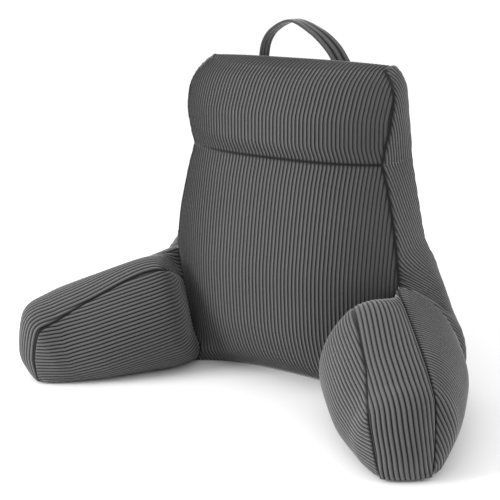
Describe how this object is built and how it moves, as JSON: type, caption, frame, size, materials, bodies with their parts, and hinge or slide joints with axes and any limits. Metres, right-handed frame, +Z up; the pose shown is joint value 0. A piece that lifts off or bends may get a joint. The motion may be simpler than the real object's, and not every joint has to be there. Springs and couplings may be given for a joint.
{
  "type": "reading pillow with arms",
  "caption": "Filled backrest cushion with a head roll, splayed padded armrests and a carrying strap on top, for sitting up in bed.",
  "frame": {"origin": "on the floor, under the middle of the object's width and depth", "axes": "+X to the viewer's right when facing the front, +Y from the front of the arms to the back, +Z up"},
  "size_m": [0.75, 0.3897, 0.5685],
  "materials": {
    "cover_cloth": "wide-rib corduroy, dark grey, soft pile",
    "strap_cloth": "flat strap of the same dark grey corduroy"
  },
  "bodies": {
    "root": {"back": "cover_cloth", "arm_left": "cover_cloth", "arm_right": "cover_cloth", "handle": "strap_cloth"}
  },
  "joints": []
}
